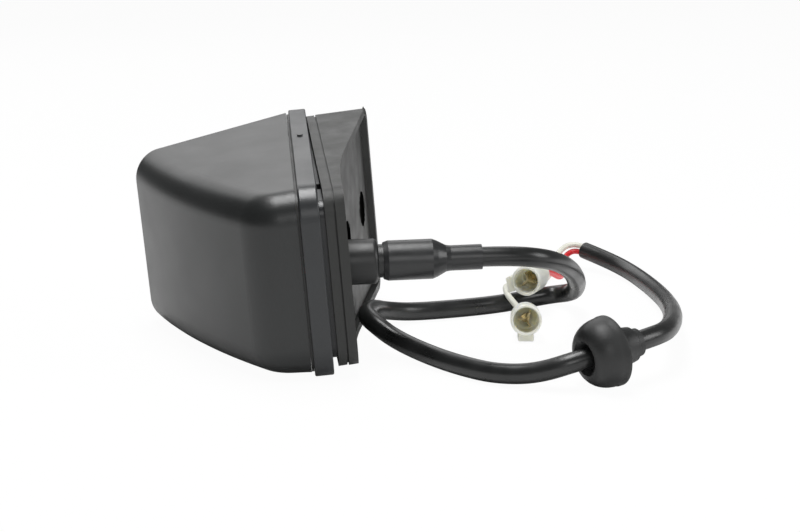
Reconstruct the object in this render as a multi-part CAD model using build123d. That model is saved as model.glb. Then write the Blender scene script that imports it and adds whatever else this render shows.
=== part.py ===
from build123d import *
import math
import os

os.makedirs("parts", exist_ok=True)

# Streamlined marker lamp lying on its lower flank, all sizes in millimetres.
# The lamp is drawn about its mounting axis: +X points out of the mounting face, +Y to the lens, Z across.
# It is then laid on its flank, so that the base's edge and the nose of the hood touch the table.

# Base and its fixing
base_length = 99.0
rear_width = 56.5
front_width = 67.0
base_thickness = 5.6
base_wall = 3.2
base_web = 2.4
rear_corner = 9.5
front_corner = 4.0
fixing_from_front = 31.0
fixing_spacing = 36.0
thread_radius = 2.1
insert_radius = 3.5
insert_length = 9.0
insert_boss_radius = 5.5
seat_gap = 1.6
seat_inset = 5.0
pip_from_front = 37.0
pip_radius = 0.9
pip_height = 1.6
pip_sink = 0.4

# Hood
hood_gap = 0.8
hood_inset = 1.2
hood_wall = 2.2
hood_height = 55.7
ridge_from_front = 26.0
skirt_height = 18.5
skirt_blend = 14.0
hood_corner = 9.0
rear_crown = 3.6
flank_draft = 3.5
hood_front_inset = 2.0
screw_radius = 1.25
screw_hole_radius = 1.7
screw_head_radius = 2.8
screw_boss_radius = 3.6
screw_depth = 9.0
screw_from_rear = 22.0
screw_from_front = 17.0
screw_from_flank = 6.4
screw_slot_length = 3.6
screw_slot_width = 0.8
screw_slot_depth = 0.6
seal_outer_corner = 7.5
seal_inner_corner = 6.0

# Lens
lens_lip = 0.9
window_rim = 4.2
rebate_depth = 1.4
bead_thickness = 0.5
lens_rise = 4.0
lens_wall = 2.0
lens_draft = 8.0
lens_edge = 1.4

# Wedge gasket
lip_inset = 2.0
lip_thickness = 2.6
groove_depth = 0.7
groove_width = 0.5
body_inset = 1.8
body_lean = 0.2
gasket_rear = 7.4
gasket_bend_from_rear = 33.4
gasket_slope = 0.19
gasket_bend_radius = 150.0
rim_width = 2.4
recess_floor = 3.4
flash_height = 1.4

# Cable outlet
outlet_from_rear = 26.0
outlet_droop = 3.4
flange_radius = 13.0
flange_thickness = 2.4
spigot_radius = 7.2
collar_radius = 6.8
collar_end = 16.4
sleeve_start = 17.9
sleeve_step = 34.1
sleeve_end = 47.5
sleeve_radius = 6.0
sleeve_tail_radius = 3.8
tail_end = 41.5
cable_straight = 55.0

# Cord and its ends
cable_radius = 3.0
wire_radius = 1.0
wire_pair_pitch = 2.3
grommet_radius = 10.4
grommet_dome = 7.4
grommet_flange = 1.2
grommet_tail_radius = 5.4
grommet_tail = 15.4
grommet_run_before = 11.0
grommet_run_after = 19.0
grommet_heading = 24.0
grommet_rise = 8.0
shell_radius = 4.9
shell_bore_radius = 4.0
shell_bore_depth = 9.0
shell_shoulder = 10.5
shell_length = 17.0
shell_tail_radius = 3.4
tab_width = 5.0
tab_height = 2.4
tab_length = 7.0
fin_length = 2.6
fin_thickness = 0.6
fin_depth = 6.8
fin_start = 2.0

# Bulb and its holder
holder_size = 15.0
holder_height = 10.6
bulb_radius = 4.9
bulb_length = 22.0
wedge_width = 9.0
wedge_thickness = 2.2
contact_thickness = 0.5
contact_length = 13.0
contact_shift = 2.5
lead_clearance = 10.0
reflector_radius = 17.0
reflector_height = 28.0

# Clearances
fit = 0.05
loose = 0.2
cable_play = 0.5

# Stations that follow from the sizes above
fixing_from_rear = base_length - fixing_from_front
rear_y = -fixing_from_rear
front_y = rear_y + base_length
flare = (front_width - rear_width) / 2 / base_length
flare_angle = math.degrees(math.atan(flare))
hood_x = -base_thickness - hood_gap
ridge_y = front_y - ridge_from_front
foot_y = front_y - hood_front_inset
rake = (foot_y - ridge_y) / (hood_x + hood_height)
outlet_y = rear_y + outlet_from_rear
draft = math.tan(math.radians(flank_draft))
nose_inset = hood_inset + (hood_height + hood_x) * draft
lean = math.degrees(math.atan(nose_inset / (hood_height - base_thickness)))
half_at_fixing = rear_width / 2 + flare * fixing_from_rear
table_z = -(
    half_at_fixing * math.cos(math.radians(flare_angle)) * math.cos(math.radians(lean))
    + base_thickness * math.sin(math.radians(lean))
)
lay_down = Rot(0, -lean, 0) * Rot(flare_angle, 0, 0)


def half_width(y):
    return rear_width / 2 + flare * (y - rear_y)


def seat_x(y):
    # The back of the base falls away a little from the front edge to the rear edge.
    return seat_gap * (front_y - y) / base_length


def outline(inset, rear_radius, front_radius):
    # The tapered outline of the base, drawn on the mounting plane.
    y_rear = rear_y + inset
    y_front = front_y - inset
    side = inset / math.cos(math.radians(flare_angle))
    half_rear = half_width(y_rear) - side
    half_front = half_width(y_front) - side
    corners = [(y_rear, -half_rear), (y_front, -half_front), (y_front, half_front), (y_rear, half_rear)]
    flat = make_face(Polyline(*corners, close=True))
    flat = fillet(flat.vertices().group_by(Axis.X)[0], rear_radius)
    return fillet(flat.vertices().group_by(Axis.X)[-1], front_radius)


def slab(face, x_from, x_to):
    return extrude(Plane.YZ.offset(x_from) * face, x_to - x_from)


def post(radius, x_from, x_to, y, z):
    return extrude(Plane.YZ.offset(x_from) * Pos(y, z) * Circle(radius), x_to - x_from)


def side_prism(points):
    return extrude(Plane.XY.offset(-front_width) * make_face(Polyline(*points, close=True)), 2 * front_width)


def fixing_stations():
    return [(-fixing_spacing / 2, 0), (fixing_spacing / 2, 0)]


def screw_positions():
    places = []
    for y in (rear_y + screw_from_rear, front_y - screw_from_front):
        z = half_width(y) - screw_from_flank
        places += [(y, -z), (y, z)]
    return places


# Base

def make_base_frame():
    body = slab(outline(0, rear_corner, front_corner), -base_thickness, 0)
    body = fillet(body.edges().filter_by(Plane.YZ), 0.5)
    pocket = outline(base_wall, rear_corner - base_wall, 1.2)
    body -= slab(pocket, -base_thickness, -base_web)
    seat = outline(seat_inset, rear_corner - seat_inset, 1.2)
    wedge = [(-1, rear_y), (seat_gap, rear_y), (0, front_y), (-1, front_y)]
    body += slab(seat, -1, seat_gap) & side_prism(wedge)
    for y, z in fixing_stations():
        body += post(insert_boss_radius, -insert_length - 1, -base_web + 1, y, z)
        body -= post(insert_boss_radius, 0, seat_gap + 1, y, z)
        body -= post(insert_radius + fit, -insert_length - 1, 1, y, z)
    for y, z in screw_positions():
        body += post(screw_boss_radius, hood_x + hood_gap, -base_web + 1, y, z)
        body -= post(screw_hole_radius, hood_x - 1, 3, y, z)
        body -= post(screw_head_radius + loose, -2, 3, y, z)
    body -= post(spigot_radius + loose, -base_thickness, 3, outlet_y, 0)
    body -= post(flange_radius + loose, 0, 3, outlet_y, 0)
    pip_y = front_y - pip_from_front
    pip = Pos(-base_thickness / 2, pip_y, half_width(pip_y) - pip_sink) * Cylinder(pip_radius, pip_height)
    return body + pip


def make_insert():
    body = Cylinder(insert_radius, insert_length)
    collars = Pos(0, 0, insert_length / 4) * Cylinder(insert_radius + 1, 0.8)
    collars -= Pos(0, 0, insert_length / 4) * Cylinder(insert_radius - 0.4, 0.8)
    body -= collars
    return body - Cylinder(thread_radius, insert_length)


def make_mounting_inserts():
    piece = make_insert()
    return Compound([Pos(-insert_length / 2, y, z) * Rot(0, 90, 0) * piece for y, z in fixing_stations()])


# Gasket

def mount_edge(offset_x):
    # The side of the gasket towards the vehicle: level at the rear, then sloping outwards.
    bend_y = rear_y + gasket_bend_from_rear
    rear_point = (gasket_rear + offset_x, rear_y - 20)
    bend_point = (gasket_rear + offset_x, bend_y)
    far_y = front_y + 25
    front_point = (gasket_rear + offset_x + gasket_slope * (far_y - bend_y), far_y)
    return FilletPolyline(rear_point, bend_point, front_point, radius=gasket_bend_radius)


def gasket_layer(start, end_line):
    # A layer from a line parallel to the seat up to the given line.
    first = end_line @ 0
    last = end_line @ 1
    back = Line(last, (seat_x(last.Y) + start, last.Y))
    seat = Line(back @ 1, (seat_x(first.Y) + start, first.Y))
    close = Line(seat @ 1, first)
    face = make_face([end_line, back, seat, close])
    return extrude(Plane.XY.offset(-front_width) * face, 2 * front_width)


def seat_line(offset_x):
    y_near = rear_y - 20
    y_far = front_y + 25
    return Line((seat_x(y_near) + offset_x, y_near), (seat_x(y_far) + offset_x, y_far))


def leaning(face, x_from, length):
    return extrude(Plane.YZ.offset(x_from) * face, length, dir=(1, body_lean, 0))


def make_gasket():
    lip = leaning(outline(lip_inset, 7.5, 5.0), -3, 20)
    lip = lip & gasket_layer(fit, seat_line(lip_thickness))
    waist = leaning(outline(body_inset + groove_depth, 7.5, 4.5), -3, 20)
    groove_top = lip_thickness + groove_width
    waist = waist & gasket_layer(lip_thickness - 0.3, seat_line(groove_top + 0.3))
    body = leaning(outline(body_inset, 7.8, 5.5), -3, 45)
    body = body & gasket_layer(groove_top, mount_edge(0))
    solid = lip + waist + body
    recess_inset = body_inset + rim_width
    recess = leaning(outline(recess_inset, 5.4, 3.1), recess_floor, 40)
    recess = Pos(0, body_lean * (recess_floor + 3), 0) * recess
    solid -= recess
    solid -= post(flange_radius + loose, -1, recess_floor + 2, outlet_y, 0)
    for y, z in fixing_stations():
        solid -= post(insert_boss_radius, -1, recess_floor + 2, y, z)
    for y, z in screw_positions():
        solid -= post(screw_head_radius + loose, -1, recess_floor + 2, y, z)
    # A moulding seam leaves one thin spike of flash on the upper front corner.
    tip_y = front_y + 1.0
    tip_x = gasket_rear + gasket_slope * (tip_y - rear_y - gasket_bend_from_rear) - 0.9
    tip_z = half_width(front_y) - body_inset - 1.0
    spike = Pos(tip_x, tip_y - 3.5, tip_z) * Cone(0.7, 0.15, flash_height + 1)
    return solid + spike


# Hood

def hood_profile(foot_x):
    # Side view of the hood: straight skirt, crowned slope up to the ridge, raked lens plane.
    skirt_y = rear_y + hood_inset
    skirt_top = Vector(-skirt_height, skirt_y)
    ridge = Vector(-hood_height, ridge_y)
    chord = ridge - skirt_top
    outward = Vector(-chord.Y, chord.X).normalized() * -1
    if outward.X > 0:
        outward = outward * -1
    middle = (skirt_top + ridge) * 0.5 + outward * rear_crown
    foot = (foot_x, foot_y + rake * (foot_x - hood_x))
    skirt = Line((foot_x, skirt_y), skirt_top)
    slope = ThreePointArc(skirt_top, middle, ridge)
    rim = Line(ridge, foot)
    close = Line(foot, (foot_x, skirt_y))
    face = make_face([skirt, slope, rim, close])
    corner = face.vertices().sort_by_distance((skirt_top.X, skirt_top.Y, 0))[0]
    return fillet(corner, skirt_blend)


def flank_section(x, inset):
    y_rear = rear_y - 12
    y_front = front_y + 12
    side = inset / math.cos(math.radians(flare_angle)) + (hood_x - x) * draft
    half_rear = half_width(y_rear) - side
    half_front = half_width(y_front) - side
    corners = [(y_rear, -half_rear), (y_front, -half_front), (y_front, half_front), (y_rear, half_rear)]
    return Plane.YZ.offset(x) * make_face(Polyline(*corners, close=True))


def lens_plane_distance(point):
    return (point.Y - foot_y - rake * (point.X - hood_x)) / math.hypot(1, rake)


def hood_block(profile, inset, foot_x, corner_radius):
    flanks = loft([flank_section(foot_x, inset), flank_section(-hood_height - 2, inset)])
    block = flanks & extrude(Plane.XY.offset(-front_width) * profile, 2 * front_width)
    rounded = []
    for edge in block.edges():
        middle = edge.center()
        beside = abs(middle.Z) > 10
        above_foot = middle.X < foot_x - 0.5
        behind_lens = lens_plane_distance(middle) < -hood_wall - 0.5
        if beside and above_foot and behind_lens:
            rounded.append(edge)
    return fillet(rounded, corner_radius)


def lens_plane():
    # Lies on the raked front of the hood; local X runs across the lamp, local Y down to the foot.
    return Plane(origin=(hood_x, foot_y, 0), x_dir=(0, 0, 1), z_dir=(-rake, 1, 0))


def lens_outline(inset, depth):
    # The outline of the lens opening, set in from the rim and sunk below the rim's plane.
    rim_length = math.hypot(hood_x + hood_height, foot_y - ridge_y)
    side = hood_inset / math.cos(math.radians(flare_angle))
    half_foot = half_width(foot_y) - side - inset
    half_ridge = half_width(ridge_y) - side - (hood_x + hood_height) * draft - inset
    y_foot = -inset
    y_ridge = inset - rim_length
    corners = [(-half_foot, y_foot), (half_foot, y_foot), (half_ridge, y_ridge), (-half_ridge, y_ridge)]
    flat = make_face(Polyline(*corners, close=True))
    flat = fillet(flat.vertices().group_by(Axis.Y)[0], max(hood_corner - inset, 1.5))
    flat = fillet(flat.vertices().group_by(Axis.Y)[-1], 1.2)
    return lens_plane().offset(-depth) * flat


def make_housing():
    outer = hood_block(hood_profile(hood_x), hood_inset, hood_x, hood_corner)
    foot_x = hood_x + hood_wall + 1
    inner_profile = offset(hood_profile(foot_x), -hood_wall, kind=Kind.INTERSECTION)
    inner = hood_block(inner_profile, hood_inset + hood_wall, foot_x, hood_corner - hood_wall)
    shell = outer - inner
    for y, z in screw_positions():
        boss = post(screw_boss_radius, hood_x - screw_depth - 2, hood_x, y, z)
        shell += boss & outer
        shell -= post(screw_radius + fit, hood_x - screw_depth, hood_x + 1, y, z)
    shell -= extrude(lens_outline(window_rim, 8), 10)
    shell -= extrude(lens_outline(lens_lip, rebate_depth), 6)
    return shell


def make_lens():
    seat_depth = rebate_depth - bead_thickness - fit
    cap = extrude(lens_outline(lens_lip + fit, seat_depth), lens_rise + seat_depth, taper=lens_draft)
    top = cap.faces().sort_by(Axis((0, 0, 0), lens_plane().z_dir))[-1]
    cap = fillet(top.edges(), lens_edge)
    hollow_height = lens_rise + seat_depth + 1 - lens_wall
    return cap - extrude(lens_outline(window_rim, seat_depth + 1), hollow_height, taper=lens_draft)


def make_lens_bead():
    bead = extrude(lens_outline(lens_lip + loose, rebate_depth), bead_thickness)
    return bead - extrude(lens_outline(window_rim, rebate_depth + 1), 4)


def make_housing_seal():
    outer_face = outline(hood_inset + 0.4, seal_outer_corner, 1.2)
    inner_face = outline(hood_inset + hood_wall - 0.3, seal_inner_corner, 0.8)
    return slab(outer_face, hood_x + fit, -base_thickness - fit) - slab(inner_face, hood_x - 1, 0)


def make_housing_screws():
    screws = []
    for y, z in screw_positions():
        shank = post(screw_radius, hood_x - screw_depth + 0.5, -1, y, z)
        head = post(screw_head_radius, -2 + fit, -0.3, y, z)
        slot = Pos(-0.3, y, z) * Box(2 * screw_slot_depth, screw_slot_length, screw_slot_width)
        slot += Pos(-0.3, y, z) * Box(2 * screw_slot_depth, screw_slot_width, screw_slot_length)
        screws.append(shank + head - slot)
    return Compound(screws)


# Bulb, holder and reflector

def make_bulb_holder():
    block = Box(holder_height, holder_size, holder_size)
    block = fillet(block.edges().filter_by(Axis.X), 2.0)
    block = Pos(-base_web - fit - holder_height / 2, 0, 0) * block
    top = -base_web - holder_height
    slot = Box(8.4, wedge_width + 2 * loose, wedge_thickness + 2 * loose)
    return block - Pos(top + 4, 0, 0) * slot


def make_bulb():
    top = -base_web - holder_height - fit
    wedge = Pos(top + 3.4, 0, 0) * Box(7.6, wedge_width, wedge_thickness)
    glass = post(bulb_radius, top - bulb_length + bulb_radius, top - 0.4, 0, 0)
    dome = Pos(top - bulb_length + bulb_radius, 0, 0) * Sphere(bulb_radius)
    return wedge + glass + dome


def make_contact(side):
    z = side * (holder_size / 2 + fit + contact_thickness / 2)
    blade = Pos(-base_web - fit - 4.5, -contact_shift, z) * Box(9, contact_length, contact_thickness)
    return fillet(blade.edges().filter_by(Axis.Z).group_by(Axis.X)[0], 1.0)


def make_reflector():
    foot = -insert_length - 1 - fit
    sheet = post(reflector_radius + 1, foot - reflector_height, foot, 0, 0)
    sheet -= post(reflector_radius, foot - reflector_height - 1, foot + 1, 0, 0)
    keep = Pos(foot - reflector_height / 2, -reflector_radius, 0) * Box(60, 2 * reflector_radius, 60)
    return sheet & keep


# Cords

def tube(points, radius, label):
    # Straight runs joined by tangent arcs, each arc 0.45 of the shorter run beside it.
    corners = [Vector(*point) for point in points]
    radii = []
    for before, here, after in zip(corners, corners[1:], corners[2:]):
        arriving = here - before
        leaving = after - here
        turn = math.radians(arriving.get_angle(leaving))
        shorter = min(arriving.length, leaving.length)
        radii.append(0.45 * shorter / math.tan(turn / 2))
    path = FilletPolyline(*corners, radius=radii)
    start = Plane(origin=path @ 0, z_dir=path % 0)
    solid = sweep(start * Circle(radius), path=path)
    share = solid.volume / (math.pi * radius ** 2 * path.length)
    print(label, "length", round(path.length, 1), "volume share", round(share, 3))
    print(label, "radii", [round(value, 1) for value in radii])
    return solid


def make_inner_lead(side, label):
    z_end = side * (holder_size / 2 + fit + contact_thickness / 2)
    points = [
        (-base_web - 1.5 - fit, outlet_y, side * 1.6),
        (-10.5, outlet_y, side * 1.6),
        (-10.5, -fixing_spacing / 2 - lead_clearance, side * 4.2),
        (-7.0, -fixing_spacing / 2, z_end),
        (-7.0, -contact_shift - contact_length / 2 - fit, z_end),
    ]
    return tube(points, wire_radius, label)


# Cable outlet

def outlet_plane():
    angle = math.radians(outlet_droop)
    return Plane(origin=(0, outlet_y, 0), x_dir=(0, 1, 0), z_dir=(math.cos(angle), 0, -math.sin(angle)))


def make_cable_gland():
    body = post(spigot_radius, -base_web - 1.5, 1, outlet_y, 0)
    body += post(flange_radius, fit, flange_thickness, outlet_y, 0)
    collar = Pos(0, 0, 0.8 + (collar_end - 0.8) / 2) * Cylinder(collar_radius, collar_end - 0.8)
    collar = fillet(collar.edges().group_by(Axis.Z)[-1], 1.6)
    collar += Pos(0, 0, (sleeve_start + collar_end) / 2 - 0.5) * Cylinder(5.0, sleeve_start - collar_end + 1)
    collar += Pos(0, 0, tail_end / 2 + 1) * Cylinder(cable_radius + 0.1, tail_end - 2)
    return body + outlet_plane() * collar


def make_heat_shrink_sleeve():
    outline_points = [
        (cable_radius + 0.15, sleeve_start + fit),
        (sleeve_radius - 0.5, sleeve_start + fit),
        (sleeve_radius, sleeve_start + 1.5),
        (sleeve_radius, sleeve_step - 1.5),
        (sleeve_radius - 0.6, sleeve_step),
        (sleeve_tail_radius + 0.2, sleeve_step + 2.6),
        (sleeve_tail_radius, sleeve_step + 4.0),
        (sleeve_tail_radius, sleeve_end),
        (cable_radius + 0.15, sleeve_end),
    ]
    face = Plane.XZ * make_face(Polyline(*outline_points, close=True))
    return outlet_plane() * revolve(face, Axis.Z)


# The cord's corners after it leaves the sleeve: x, y and height above the table.
loop_route = [
    (65.8, -40.0, 30.0),
    (73.2, -30.5, 26.3),
    (79.3, -17.0, 20.6),
    (83.2, -5.0, 14.4),
    (85.0, 5.0, 9.8),
    (85.2, 15.0, 5.4),
    (79.5, 20.5, 3.5),
    (68.5, 15.2, 3.1),
    (58.0, 9.6, 3.05),
    (44.0, 5.2, 3.05),
    (30.0, 2.2, 3.1),
    (20.4, -4.0, 5.4),
    (13.6, -14.3, 9.3),
    (10.4, -24.6, 9.4),
    (14.4, -32.0, 8.4),
    (21.8, -39.0, 5.4),
    (31.0, -50.5, 3.5),
    (40.0, -62.2, 3.1),
    (49.0, -70.8, 3.1),
    (59.5, -75.8, 4.4),
]
grommet_spot = (80.5, -75.0, 10.45)
end_route = [
    (104.8, -52.0, 11.2),
    (110.6, -31.0, 8.4),
    (114.2, -8.0, 5.6),
    (115.8, 14.0, 3.6),
    (115.2, 35.5, 3.05),
    (112.4, 53.0, 3.5),
    (106.6, 64.0, 5.2),
    (99.6, 72.2, 7.0),
]
white_route = [
    (92.8, 75.2, 7.9),
    (89.0, 69.8, 5.8),
    (85.5, 58.0, 2.4),
    (80.0, 46.0, 1.15),
    (72.6, 31.0, 2.6),
    (63.6, 19.6, 7.6),
    (62.0, 8.5, 7.6),
    (64.0, 0.5, 5.4),
]
red_route = [
    (93.0, 73.8, 4.9),
    (90.8, 67.2, 2.8),
    (87.0, 54.0, 1.2),
    (83.4, 42.5, 2.0),
    (80.4, 33.0, 7.0),
]
shell_a_mouth = (68.0, 4.0, 12.3)
shell_a_axis = Vector(0.41, 0.90, -0.08).normalized()
shell_b_mouth = (63.6, -27.5, 7.4)
shell_b_axis = Vector(0.12, 0.98, -0.15).normalized()


def on_table(point):
    return Vector(point[0], point[1], table_z + point[2])


def outlet_point(distance):
    placed = lay_down * Location(outlet_plane()) * Pos(0, 0, distance)
    return placed.position


def grommet_axis():
    heading = math.radians(grommet_heading)
    rise = math.radians(grommet_rise)
    level = math.cos(rise)
    return Vector(level * math.cos(heading), level * math.sin(heading), math.sin(rise))


def cable_points():
    points = [outlet_point(tail_end + fit), outlet_point(cable_straight)]
    points += [on_table(point) for point in loop_route]
    centre = on_table(grommet_spot)
    points += [centre - grommet_axis() * grommet_run_before, centre + grommet_axis() * grommet_run_after]
    points += [on_table(point) for point in end_route]
    return points


def wire_start(side):
    # The two wires leave the end of the cable one above the other.
    points = cable_points()
    along = (points[-1] - points[-2]).normalized()
    upright = (Vector(0, 0, 1) - along * along.Z).normalized()
    first = points[-1] + along * fit + upright * (side * wire_pair_pitch / 2)
    return [first, first + along * 4.0]


def wire_finish(mouth, axis):
    rear = on_table(mouth) + axis * (shell_length + fit)
    return [rear + axis * 6.0, rear]


def white_points():
    middle = [on_table(point) for point in white_route]
    return wire_start(1) + middle + wire_finish(shell_b_mouth, shell_b_axis)


def red_points():
    middle = [on_table(point) for point in red_route]
    return wire_start(-1) + middle + wire_finish(shell_a_mouth, shell_a_axis)


def make_grommet():
    front = -grommet_dome
    half = [
        Line((cable_radius + cable_play, front + 2.2), (5.2, front)),
        Spline(
            (5.2, front),
            (8.6, front + 2.2),
            (grommet_radius - 0.2, -1.0),
            tangents=((1, 0.05), (0.05, 1)),
        ),
        Line((grommet_radius - 0.2, -1.0), (grommet_radius, -0.6)),
        Line((grommet_radius, -0.6), (grommet_radius, grommet_flange - 0.6)),
        Line((grommet_radius, grommet_flange - 0.6), (6.6, grommet_flange + 0.4)),
        Line((6.6, grommet_flange + 0.4), (grommet_tail_radius + 0.6, grommet_flange + 2.0)),
        Line((grommet_tail_radius + 0.6, grommet_flange + 2.0), (grommet_tail_radius, grommet_tail - 1.0)),
        Line((grommet_tail_radius, grommet_tail - 1.0), (grommet_tail_radius - 1.0, grommet_tail)),
        Line((grommet_tail_radius - 1.0, grommet_tail), (cable_radius + cable_play, grommet_tail)),
        Line((cable_radius + cable_play, grommet_tail), (cable_radius + cable_play, front + 2.2)),
    ]
    body = revolve(Plane.XZ * make_face(half), Axis.Z)
    return Plane(origin=on_table(grommet_spot), z_dir=grommet_axis()) * body


def shell_plane(mouth, axis, tab_side):
    # Local Z runs from the mouth to the rear, local X points to the locking tab.
    across = (tab_side - axis * tab_side.dot(axis)).normalized()
    return Plane(origin=on_table(mouth), x_dir=across, z_dir=axis)


def make_connector_shell(plane):
    outline_points = [
        (shell_bore_radius, 0),
        (shell_radius - 0.3, 0),
        (shell_radius, 0.4),
        (shell_radius - 0.2, shell_shoulder),
        (shell_tail_radius + 0.3, shell_shoulder + 1.6),
        (shell_tail_radius, shell_length),
        (wire_radius + 0.4, shell_length),
        (wire_radius + 0.4, shell_bore_depth),
        (shell_bore_radius - 0.3, shell_bore_depth),
    ]
    body = revolve(Plane.XZ * make_face(Polyline(*outline_points, close=True)), Axis.Z)
    tab_middle = shell_radius + tab_height / 2 - 0.6
    tab = Pos(tab_middle, 0, tab_length / 2 + 0.6) * Box(tab_height, tab_width, tab_length)
    tab = fillet(tab.edges().filter_by(Axis.Z), 0.6)
    return plane * (body + tab)


def make_terminal(plane):
    stem_start = shell_bore_depth - 1.5
    stem_length = shell_length - stem_start
    stem = Pos(0, 0, stem_start + stem_length / 2) * Cylinder(wire_radius + 0.35, stem_length)
    fin = Pos(fin_length / 2, 0, fin_start + fin_depth / 2) * Box(fin_length, fin_thickness, fin_depth)
    blades = [Rot(0, 0, 90 + 120 * index) * fin for index in range(3)]
    body = stem
    for blade in blades:
        body += blade
    return plane * body


shell_a = shell_plane(shell_a_mouth, shell_a_axis, Vector(-0.9, 0.41, -0.3))
shell_b = shell_plane(shell_b_mouth, shell_b_axis, Vector(0, 0, -1))

lamp_pieces = {
    "base_frame": make_base_frame(),
    "mounting_inserts": make_mounting_inserts(),
    "gasket": make_gasket(),
    "housing": make_housing(),
    "lens": make_lens(),
    "lens_bead": make_lens_bead(),
    "housing_seal": make_housing_seal(),
    "housing_screws": make_housing_screws(),
    "bulb_holder": make_bulb_holder(),
    "bulb": make_bulb(),
    "contact_live": make_contact(-1),
    "contact_earth": make_contact(1),
    "reflector": make_reflector(),
    "inner_lead_red": make_inner_lead(-1, "inner_lead_red"),
    "inner_lead_white": make_inner_lead(1, "inner_lead_white"),
    "cable_gland": make_cable_gland(),
    "heat_shrink_sleeve": make_heat_shrink_sleeve(),
}
pieces = {name: lay_down * solid for name, solid in lamp_pieces.items()}
pieces["cable"] = tube(cable_points(), cable_radius, "cable")
pieces["grommet"] = make_grommet()
pieces["white_wire"] = tube(white_points(), wire_radius, "white_wire")
pieces["red_wire"] = tube(red_points(), wire_radius, "red_wire")
pieces["connector_shell_a"] = make_connector_shell(shell_a)
pieces["connector_shell_b"] = make_connector_shell(shell_b)
pieces["terminal_a"] = make_terminal(shell_a)
pieces["terminal_b"] = make_terminal(shell_b)

print("table", round(table_z, 3), "lean", round(lean, 3), "flare", round(flare_angle, 3))
for name, solid in pieces.items():
    export_step(solid, "parts/" + name + ".step")
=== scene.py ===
# %% [markdown]
# # A roof marker lamp on a white table
# The lamp lies on its lower flank, seen from its rear, with its cord to the right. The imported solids
# give most of its shapes. This lesson dresses them in the surfaces of their real materials, adds the
# sheet across the gasket's back, turns the grommet, draws the cord as smooth curves, and sets up the
# table, light and camera.

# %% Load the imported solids
import math

import bpy
from mathutils import Matrix, Vector


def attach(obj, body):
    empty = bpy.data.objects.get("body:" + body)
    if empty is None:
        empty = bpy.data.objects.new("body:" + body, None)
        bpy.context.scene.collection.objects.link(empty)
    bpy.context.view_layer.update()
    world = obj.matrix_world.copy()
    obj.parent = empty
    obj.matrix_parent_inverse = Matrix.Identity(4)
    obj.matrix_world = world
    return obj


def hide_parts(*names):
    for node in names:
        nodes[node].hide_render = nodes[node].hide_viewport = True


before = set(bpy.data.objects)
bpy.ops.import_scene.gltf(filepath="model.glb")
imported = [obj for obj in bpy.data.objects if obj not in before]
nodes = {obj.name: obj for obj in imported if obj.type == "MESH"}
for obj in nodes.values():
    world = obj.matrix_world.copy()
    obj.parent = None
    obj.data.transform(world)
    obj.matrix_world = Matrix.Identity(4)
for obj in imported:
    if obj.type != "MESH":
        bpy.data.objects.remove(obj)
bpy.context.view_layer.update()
MM = 0.001
TABLE = -32.169 * MM  # height of the table in the lamp's frame
print("loaded", len(nodes), "solids")

# %% [markdown]
# ## Colours and nodes
# Colours are written as the hex values that a paint program shows. Shaders work in linear light, so one
# function converts them. A second small function adds a shader node, sets its values and links its
# inputs, which keeps every material below short enough to read at a glance.

# %% Two helpers for materials


def colour(hex_code):
    channels = [int(hex_code[i:i + 2], 16) / 255 for i in (1, 3, 5)]
    linear = [c / 12.92 if c <= 0.04045 else ((c + 0.055) / 1.055) ** 2.4 for c in channels]
    return (*linear, 1.0)


def add(tree, kind, links=None, **settings):
    node = tree.nodes.new(kind)
    for name, value in settings.items():
        if name in node.inputs:
            node.inputs[name].default_value = value
        else:
            setattr(node, name, value)
    for socket, source in (links or {}).items():
        tree.links.new(source, node.inputs[socket])
    return node


print("helpers ready")

# %% [markdown]
# ## One surface, many materials
# A moulded, extruded or stamped surface is never one flat colour: it has slow patches, where handling
# and dust change its tone and gloss, and a fine grain from its mould or die, which spreads each
# highlight. Painted maps could hold both, but noises need no unwrapping and their scales can be given
# in real millimetres. A real grain is too fine to show in the render, so it is drawn coarse enough to
# catch the light.

# %% A surface with patches and grain
NOISE_SPAN = {"From Min": 0.3, "From Max": 0.7}  # most of a noise's values lie in this span


def surface(name, dark, light, gloss, patch_mm, grain_mm, depth_mm, settings):
    material = bpy.data.materials.new(name)
    material.use_nodes = True
    tree = material.node_tree
    tree.nodes.clear()
    place = {"Vector": add(tree, "ShaderNodeTexCoord").outputs["Object"]}
    patches = add(tree, "ShaderNodeTexNoise", place, Scale=1 / (patch_mm * MM), Detail=5.0)
    grain = add(tree, "ShaderNodeTexNoise", place, Scale=1 / (grain_mm * MM), Detail=2.0)
    share = add(tree, "ShaderNodeMapRange", {"Value": patches.outputs[0]}, **NOISE_SPAN)
    tones = {"Color1": colour(dark), "Color2": colour(light)}
    tone = add(tree, "ShaderNodeMixRGB", {"Fac": share.outputs[0]}, **tones)
    ends = {"To Min": gloss[0], "To Max": gloss[1]}
    sheen = add(tree, "ShaderNodeMapRange", {"Value": share.outputs[0]}, **ends)
    relief = add(tree, "ShaderNodeBump", {"Height": grain.outputs[0]}, Distance=depth_mm * MM)
    sources = {"Base Color": tone.outputs[0], "Roughness": sheen.outputs[0], "Normal": relief.outputs[0]}
    shader = add(tree, "ShaderNodeBsdfPrincipled", sources, **settings)
    add(tree, "ShaderNodeOutputMaterial", {"Surface": shader.outputs[0]})
    return material


print("surface builder ready")

# %% [markdown]
# ## Black plastics and rubbers
# The hood and base are injection-moulded ABS. The gasket, gland and grommet are EPDM rubber and the
# cable's jacket is extruded PVC. All are nearly the same black, so roughness tells them apart. Each
# line below gives a name, a dark and a light tone, the range of roughness, and then the width of the
# patches and the width and depth of the grain in millimetres.

# %% Black materials
PLASTIC = {"IOR": 1.54}
RUBBER = {"IOR": 1.52}
# A spark-eroded mould: soft, broad highlights along the hood's edges.
hood_abs = surface("ABS_black_spark_eroded", "#191b1b", "#1e2020", (0.32, 0.40), 18.0, 0.45, 0.02, PLASTIC)
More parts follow.
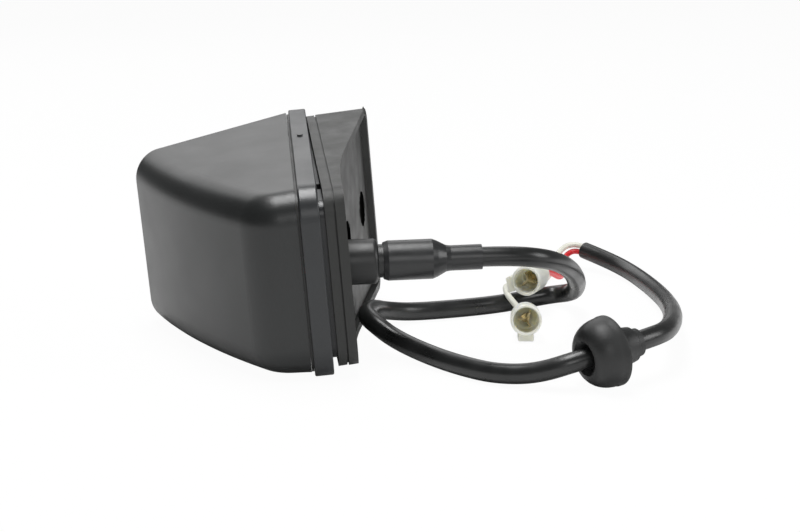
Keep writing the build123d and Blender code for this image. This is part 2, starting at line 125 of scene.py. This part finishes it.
# A satin mould: the base shows as a slightly paler band.
base_abs = surface("ABS_black_satin", "#232527", "#2a2c2e", (0.32, 0.42), 12.0, 0.5, 0.015, PLASTIC)
# Moulded rubber: matt, a little grey where bloom and dust have settled.
gasket_rubber = surface("EPDM_moulded", "#1a1b1a", "#252624", (0.42, 0.56), 7.0, 0.6, 0.03, RUBBER)
gland_rubber = surface("EPDM_gland", "#1a1b1b", "#222323", (0.36, 0.48), 6.0, 0.5, 0.02, RUBBER)
grommet_rubber = surface("EPDM_grommet", "#181919", "#212222", (0.42, 0.54), 7.0, 0.6, 0.03, RUBBER)
# An extruded jacket: smoother, with a bright line along each bend.
jacket_pvc = surface("PVC_jacket_black", "#191a1a", "#202121", (0.26, 0.38), 9.0, 0.8, 0.015, PLASTIC)
# A shrunk sleeve: satin, with a slow waviness.
sleeve_shrink = surface(
    "polyolefin_heat_shrink", "#1e1f20", "#272829", (0.30, 0.42), 8.0, 1.6, 0.03, PLASTIC
)
print("made the black plastics and rubbers")

# %% [markdown]
# ## Insulation, connectors and resins
# The two wires have coloured PVC insulation. The connector shells are natural nylon, which light enters
# and leaves again softened, so they get subsurface scattering and a pale cream colour. The lens bead is
# grey silicone, and the bulb's holder is a moulded phenolic resin.

# %% Wire insulation, nylon and resins
NYLON = {
    "IOR": 1.53,
    "Subsurface Weight": 0.9,
    "Subsurface Radius": (1.0, 0.95, 0.8),
    "Subsurface Scale": 4.0 * MM,
}
# Extruded insulation: satin and evenly coloured.
white_pvc = surface("PVC_white", "#d8d8cb", "#e2e2d8", (0.34, 0.46), 2.0, 0.5, 0.01, PLASTIC)
red_pvc = surface("PVC_red", "#d3212b", "#e2333b", (0.34, 0.46), 2.0, 0.5, 0.01, PLASTIC)
# Moulded nylon: milky, with soft shadows.
nylon = surface("nylon_natural", "#dfdfcf", "#eaeade", (0.30, 0.42), 3.0, 0.7, 0.01, NYLON)
# Poured silicone and pressed resin: dull and opaque.
bead_silicone = surface("silicone_grey", "#8b8c8a", "#989996", (0.40, 0.55), 4.0, 0.6, 0.01, RUBBER)
holder_resin = surface("phenolic_holder", "#8d8672", "#9a937f", (0.40, 0.55), 4.0, 0.6, 0.01, PLASTIC)
print("made the insulation, nylon and resins")

# %% [markdown]
# ## Metals, lens and glass
# The terminals are stamped brass, the inserts turned brass and the screws zinc-plated steel. The
# reflector is aluminised plastic. The lens is clear polycarbonate with a faint yellow tint, and the
# bulb is plain glass. Metals keep the shader's default index of refraction.

# %% Metals and clear pieces
METAL = {"Metallic": 1.0}
LENS = {"IOR": 1.585, "Transmission Weight": 1.0}
GLASS = {"IOR": 1.52, "Transmission Weight": 1.0}
# Brass: tarnished in patches, so its gleam is uneven.
terminal_brass = surface("brass_stamped", "#a8935e", "#d8caa0", (0.22, 0.36), 2.5, 0.4, 0.01, METAL)
insert_brass = surface("brass_turned", "#a8894e", "#c4a668", (0.24, 0.36), 2.5, 0.3, 0.01, METAL)
# Zinc plating: a cool grey gleam.
screw_steel = surface("steel_zinc_plated", "#a9abad", "#bfc1c2", (0.26, 0.38), 2.5, 0.3, 0.01, METAL)
# Vacuum-coated aluminium: almost a mirror.
mirror_film = surface("aluminised_film", "#dcdddd", "#e6e7e7", (0.05, 0.10), 6.0, 3.0, 0.01, METAL)
# Polished moulding and blown glass: clear, with sharp reflections.
lens_clear = surface("polycarbonate_clear", "#f1ead0", "#f5f0dc", (0.03, 0.06), 25.0, 4.0, 0.01, LENS)
bulb_glass = surface("soda_lime_glass", "#f3f5f5", "#f8f9f9", (0.01, 0.03), 25.0, 4.0, 0.01, GLASS)
print("made the metals and clear pieces")

# %% [markdown]
# ## Dress the solids
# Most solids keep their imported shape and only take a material. The grommet, the cable and the two wires
# get theirs as well, although they are drawn again further down. A table from solid to material shows
# at a glance what the lamp is made of.

# %% Materials for the solids
finishes = {
    "base_frame": base_abs,
    "housing": hood_abs,
    "gasket": gasket_rubber,
    "housing_seal": gasket_rubber,
    "cable_gland": gland_rubber,
    "grommet": grommet_rubber,
    "heat_shrink_sleeve": sleeve_shrink,
    "lens": lens_clear,
    "lens_bead": bead_silicone,
    "reflector": mirror_film,
    "bulb": bulb_glass,
    "bulb_holder": holder_resin,
    "contact_live": terminal_brass,
    "contact_earth": terminal_brass,
    "terminal_a": terminal_brass,
    "terminal_b": terminal_brass,
    "mounting_inserts": insert_brass,
    "housing_screws": screw_steel,
    "inner_lead_red": red_pvc,
    "inner_lead_white": white_pvc,
    "connector_shell_a": nylon,
    "connector_shell_b": nylon,
    "cable": jacket_pvc,
    "white_wire": white_pvc,
    "red_wire": red_pvc,
}
for name, material in finishes.items():
    mesh = nodes[name].data
    mesh.materials.clear()
    mesh.materials.append(material)
print("dressed", len(finishes), "solids")

# %% [markdown]
# ## The back of the gasket
# The photo shows a skin across the back of the gasket, sunk a little below its rim. A grid of points is
# enough for it: the rows stay level at the rear and then rise to the front, as the gasket does. It is
# laid out in the lamp's own axes, in millimetres: x away from the hood, y to the front and z across.

# %% Height and width of the sheet
REAR_Y, FRONT_Y = -63.6, 26.8
REAR_X, RISE = 6.2, 0.19
BEND_Y, BEND_REACH, BEND_SOFTNESS = -34.6, 14.0, 300.0
REAR_HALF_WIDTH, WIDENING, WIDENS_FROM_Y = 28.25, 0.053, -68.0
RIM, CORNER = 4.5, 7.0


def sheet_x(y):
    past = y - BEND_Y
    if past < -BEND_REACH:
        return REAR_X
    if past < BEND_REACH:
        return REAR_X + (past + BEND_REACH) ** 2 / BEND_SOFTNESS
    return REAR_X + RISE * past


def sheet_half_width(y):
    depth = max(0.0, min(CORNER, y - REAR_Y, FRONT_Y - y))
    inside_rim = REAR_HALF_WIDTH + WIDENING * (y - WIDENS_FROM_Y) - RIM
    return inside_rim - CORNER + math.sqrt(CORNER ** 2 - (CORNER - depth) ** 2)


print("sheet rises", round(sheet_x(FRONT_Y) - sheet_x(REAR_Y), 1), "mm")

# %% [markdown]
# ## Openings in the sheet
# The cable gland and the two fixing inserts stay free. A cutter could punch the openings, but here the
# points near an opening's edge are simply moved onto it, so that it comes out round, and the faces
# inside are left out.

# %% Points of the sheet
OPENINGS = [(-42.0, 13.8), (-18.0, 5.8), (18.0, 5.8)]  # place along y and radius: gland, two inserts
PULL = 0.9  # points this near to an opening's edge are moved onto it
SLACK = 0.01
SKEW, SKEW_FROM_X = 0.2, -3.0


def sheet_points(rows, columns):
    points = []
    for row in range(rows + 1):
        y = REAR_Y + (FRONT_Y - REAR_Y) * row / rows
        x = sheet_x(y)
        for column in range(columns + 1):
            across = 2 * column / columns - 1
            spot = Vector((y + SKEW * (x - SKEW_FROM_X), sheet_half_width(y) * across))
            for middle_y, radius in OPENINGS:
                out = spot - Vector((middle_y, 0))
                if abs(out.length - radius) < PULL:
                    spot = Vector((middle_y, 0)) + out.normalized() * radius
            points.append(Vector((x, *spot)))
    return points


def is_clear(point):
    return all(math.hypot(point.y - y, point.z) > radius - SLACK for y, radius in OPENINGS)


print("sheet has", len(OPENINGS), "openings")

# %% [markdown]
# ## From points to a piece
# One function makes a smooth mesh from points and faces, for the sheet, the grommet and the table. The
# sheet is turned as the lamp lies on the table: by its lean to the side and by the flare of its base.

# %% Sheet across the gasket
LEAN = math.radians(4.809)
FLARE = math.radians(3.036)
LAY_DOWN = Matrix.Rotation(-LEAN, 3, "Y") @ Matrix.Rotation(FLARE, 3, "X")


def mesh_piece(name, points, faces, material):
    mesh = bpy.data.meshes.new(name)
    mesh.from_pydata(points, [], faces)
    mesh.shade_smooth()
    mesh.materials.append(material)
    piece = bpy.data.objects.new(name, mesh)
    bpy.context.collection.objects.link(piece)
    return piece


def gasket_sheet(rows=72, columns=44):
    points = sheet_points(rows, columns)
    faces = []
    for row in range(rows):
        for column in range(columns):
            first = row * (columns + 1) + column
            corners = (first, first + 1, first + columns + 2, first + columns + 1)
            if all(is_clear(points[i]) for i in corners):
                faces.append(corners)
    sheet = mesh_piece("gasket_sheet", [LAY_DOWN @ p * MM for p in points], faces, gasket_rubber)
    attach(sheet, "root")
    return sheet


sheet = gasket_sheet()
print("gasket sheet of", len(sheet.data.polygons), "faces")

# %% [markdown]
# ## The grommet
# The grommet is a body of revolution on the cable: a dimple where the cable goes in, a round dome, a
# flange edge and a short cone. Its profile is a list of radius and distance along the axis in
# millimetres. A modifier could turn it too, but turning the points directly lets the axis follow the
# cable. Places on the table are given as x, y and the height above the table.

# %% Profile of the grommet
GROMMET_SPOT = (80.5, -75.0, 10.45)
GROMMET_AXIS = Vector((0.9047, 0.4028, 0.1392))
DOME_MIDDLE, DOME_BULGE, DOME_LENGTH, DOME_STEPS = (5.2, -1.0), 5.0, 7.6, 10
DIMPLE = [(3.1, -6.4)]
FLANGE = [(10.4, -0.5), (10.4, 0.5), (6.8, 1.5)]
CONE = [(6.0, 2.5), (5.1, 7.4), (4.3, 8.0), (4.1, 9.8), (3.1, 9.8)]
EDGE_ANGLE = math.radians(38)

dome = []
for step in range(DOME_STEPS + 1):
    turn = math.pi / 2 * step / DOME_STEPS
    radius = DOME_MIDDLE[0] + DOME_BULGE * math.sin(turn)
    dome.append((radius, DOME_MIDDLE[1] - DOME_LENGTH * math.cos(turn)))
grommet_profile = DIMPLE + dome + FLANGE + CONE
print("grommet profile of", len(grommet_profile), "points")

# %% Turned grommet


def on_table(point):
    return Vector((point[0] * MM, point[1] * MM, TABLE + point[2] * MM))


def turned_grommet(steps=64):
    along_cable = GROMMET_AXIS.to_track_quat("Z", "Y").to_matrix()
    points, faces = [], []
    for step in range(steps):
        angle = 2 * math.pi * step / steps
        for radius, along in grommet_profile:
            local = Vector((radius * math.cos(angle), radius * math.sin(angle), along))
            points.append(on_table(GROMMET_SPOT) + along_cable @ local * MM)
    count = len(grommet_profile)
    for step in range(steps):
        here, after = step * count, (step + 1) % steps * count
        faces += [(here + k, after + k, after + k + 1, here + k + 1) for k in range(count - 1)]
    piece = mesh_piece("turned_grommet", points, faces, grommet_rubber)
    piece.data.set_sharp_from_angle(angle=EDGE_ANGLE)
    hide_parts("grommet")
    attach(piece, "root")
    return piece


grommet = turned_grommet()
print("grommet of", len(grommet.data.polygons), "faces")

# %% [markdown]
# ## The cord and its wires
# A cord bends without corners. Its solid is made of straight runs and arcs, so each one is drawn again
# here as a NURBS curve: its control points are the corners of the solid's route, a few of them moved
# to follow the photo, and a round bevel gives it thickness. Each point is x, y and the height
# above the table, in millimetres.

# %% Routes of the cable and the two wires
cable_route = [
    (41.72, -41.81, 30.98), (55.17, -41.77, 31.31), (65.8, -40.0, 30.0), (73.2, -30.5, 26.3),
    (79.3, -17.0, 20.6), (83.2, -5.0, 14.4), (85.0, 5.0, 9.8), (85.2, 15.0, 5.4),
    (79.5, 20.5, 3.5), (68.5, 15.2, 3.1), (58.0, 9.6, 3.05), (44.0, 5.2, 3.05),
    (30.0, 2.2, 3.1), (21.4, -4.4, 5.4), (16.4, -15.0, 9.0), (13.8, -26.0, 9.8),
    (16.2, -33.4, 8.8), (21.8, -39.0, 5.4), (31.0, -50.5, 3.5), (40.0, -62.2, 3.1),
    (49.0, -70.8, 3.1), (59.5, -75.8, 4.4), (70.55, -79.43, 8.92), (92.6, -69.6, 12.4),
    (99.4, -62.4, 12.4), (104.2, -49.5, 11.0), (109.2, -30.5, 8.6), (113.4, -8.0, 5.8),
    (115.6, 14.0, 3.8), (115.2, 35.5, 3.05), (112.4, 53.0, 3.5), (106.6, 64.0, 5.2),
    (99.6, 72.2, 7.0),
]
white_route = [
    (99.69, 72.09, 8.14), (97.13, 75.09, 8.8), (92.8, 75.2, 7.9), (89.0, 69.8, 5.8),
    (85.5, 58.0, 2.4), (80.0, 46.0, 1.15), (72.6, 31.0, 2.6), (63.6, 19.6, 7.6),
    (62.0, 8.5, 7.6), (64.0, 0.5, 5.4), (66.37, -4.88, 3.94), (65.65, -10.77, 4.84),
]
red_route = [
    (99.45, 72.38, 5.87), (96.88, 75.38, 6.53), (93.0, 73.8, 4.9), (91.2, 66.6, 3.4),
    (89.0, 54.0, 2.4), (85.6, 42.5, 4.0), (81.4, 33.0, 8.0), (77.52, 24.91, 10.44),
    (75.05, 19.47, 10.93),
]
CABLE_DIAMETER = 6.0 * MM
WIRE_DIAMETER = 2.0 * MM
print("routes of", len(cable_route), len(white_route), len(red_route), "points")

# %% Draw them as curves


def cord_curve(name, route, diameter, material, node):
    curve = bpy.data.curves.new(name, "CURVE")
    curve.dimensions = "3D"
    curve.bevel_depth = diameter / 2
    curve.bevel_resolution = 7
    curve.use_fill_caps = True
    spline = curve.splines.new("NURBS")
    spline.points.add(len(route) - 1)
    for target, point in zip(spline.points, route):
        target.co = (*on_table(point), 1.0)
    spline.order_u = 3
    spline.use_endpoint_u = True
    spline.resolution_u = 10
    curve.materials.append(material)
    piece = bpy.data.objects.new(name, curve)
    bpy.context.collection.objects.link(piece)
    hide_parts(node)
    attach(piece, "root")
    return piece


cable = cord_curve("lamp_cable", cable_route, CABLE_DIAMETER, jacket_pvc, "cable")
white_lead = cord_curve("lead_white", white_route, WIRE_DIAMETER, white_pvc, "white_wire")
red_lead = cord_curve("lead_red", red_route, WIRE_DIAMETER, red_pvc, "red_wire")
print("drew the cable and two wires")

# %% [markdown]
# ## Where the cords end
# The wires leave the end of the cable and end in the two connectors.

print("the wires run from the cable to the two connectors")

# %% [markdown]
# ## Table and light
# The photo has a pure white ground. More light would wash out the lamp, so the floor and the world glow
# white only to the camera, while four softboxes, above, behind, to the right and in front, light the
# lamp at a plain level. A small part of the floor stays an ordinary white surface, so that it keeps a
# faint shadow.

# %% White table
FLOOR_SIZE = 6.0
FLOOR_GLOW_SHARE = 0.96
FLOOR_PATCH = 40.0 * MM


def table_white():
    material = bpy.data.materials.new("table_white")
    material.use_nodes = True
    tree = material.node_tree
    tree.nodes.clear()
    patches = add(tree, "ShaderNodeTexNoise", Scale=1 / FLOOR_PATCH)
    tones = {"Color1": colour("#f4f4f4"), "Color2": colour("#f8f8f8")}
    tone = add(tree, "ShaderNodeMixRGB", {"Fac": patches.outputs[0]}, **tones)
    paper = add(tree, "ShaderNodeBsdfDiffuse", {"Color": tone.outputs[0]})
    glow = add(tree, "ShaderNodeEmission", Strength=1.0)
    path = add(tree, "ShaderNodeLightPath")
    seen = add(tree, "ShaderNodeMath", {0: path.outputs["Is Camera Ray"]}, operation="MULTIPLY")
    seen.inputs[1].default_value = FLOOR_GLOW_SHARE
    sources = {0: seen.outputs[0], 1: paper.outputs[0], 2: glow.outputs[0]}
    mixed = add(tree, "ShaderNodeMixShader", sources)
    add(tree, "ShaderNodeOutputMaterial", {"Surface": mixed.outputs[0]})
    return material


half = FLOOR_SIZE / 2
floor_corners = [(-half, -half, TABLE), (half, -half, TABLE), (half, half, TABLE), (-half, half, TABLE)]
floor = mesh_piece("table", floor_corners, [(0, 1, 2, 3)], table_white())
print("table at", round(TABLE / MM, 2), "mm")

# %% World
WORLD_LIGHT = 0.15


def white_world():
    world = bpy.data.worlds.new("studio")
    bpy.context.scene.world = world
    world.use_nodes = True
    tree = world.node_tree
    tree.nodes.clear()
    lit = add(tree, "ShaderNodeBackground", Color=(1, 1, 1, 1), Strength=WORLD_LIGHT)
    shown = add(tree, "ShaderNodeBackground", Color=(1, 1, 1, 1), Strength=1.0)
    path = add(tree, "ShaderNodeLightPath")
    sources = {0: path.outputs["Is Camera Ray"], 1: lit.outputs[0], 2: shown.outputs[0]}
    mixed = add(tree, "ShaderNodeMixShader", sources)
    add(tree, "ShaderNodeOutputWorld", {"Surface": mixed.outputs[0]})


white_world()
print("world light", WORLD_LIGHT)

# %% [markdown]
# ## Softboxes
# Large area lights give the long, soft highlights on the hood and the base. Each one has a place, a
# point to aim at and a size in metres, and a strength in watts.

# %% Four softboxes


def softbox(name, place, aim, size, watts):
    light = bpy.data.lights.new(name, "AREA")
    light.shape = "RECTANGLE"
    light.size, light.size_y = size
    light.energy = watts
    lamp = bpy.data.objects.new(name, light)
    lamp.location = place
    lamp.rotation_euler = (Vector(aim) - Vector(place)).to_track_quat("-Z", "Y").to_euler()
    bpy.context.collection.objects.link(lamp)


softbox("overhead", (-0.05, 0.0, 0.70), (0.0, 0.0, 0.0), (0.50, 0.22), 4.5)
softbox("behind", (-0.15, 0.75, 0.50), (0.0, 0.0, 0.0), (0.9, 0.5), 2.2)
softbox("right", (0.75, -0.25, 0.35), (0.0, -0.03, 0.0), (0.4, 0.4), 2.4)
softbox("front", (0.10, -0.80, 0.30), (0.05, 0.0, 0.0), (0.3, 0.3), 1.0)
print("lit by the world and four softboxes")

# %% [markdown]
# ## Camera
# The photo was taken with a short telephoto from a little above the table. The camera's place and angle
# were worked out from the outline of the base and hood, for a picture 800 pixels wide.

# %% Camera at the photo's angle
CAMERA_PLACE = Vector((-17.4, -563.4, 117.3)) * MM
CAMERA_TURN = math.radians(4.45)
CAMERA_DIP = math.radians(13.0)

scene = bpy.context.scene
lens = bpy.data.cameras.new("camera")
lens.sensor_width = 36.0
lens.lens = 81.0
lens.clip_start = 0.01
camera = bpy.data.objects.new("camera", lens)
camera.location = CAMERA_PLACE
level = math.cos(CAMERA_DIP)
aim = Vector((level * math.sin(CAMERA_TURN), level * math.cos(CAMERA_TURN), -math.sin(CAMERA_DIP)))
camera.rotation_euler = aim.to_track_quat("-Z", "Y").to_euler()
scene.collection.objects.link(camera)
scene.camera = camera
scene.view_settings.view_transform = "Standard"
print("camera", lens.lens, "mm")
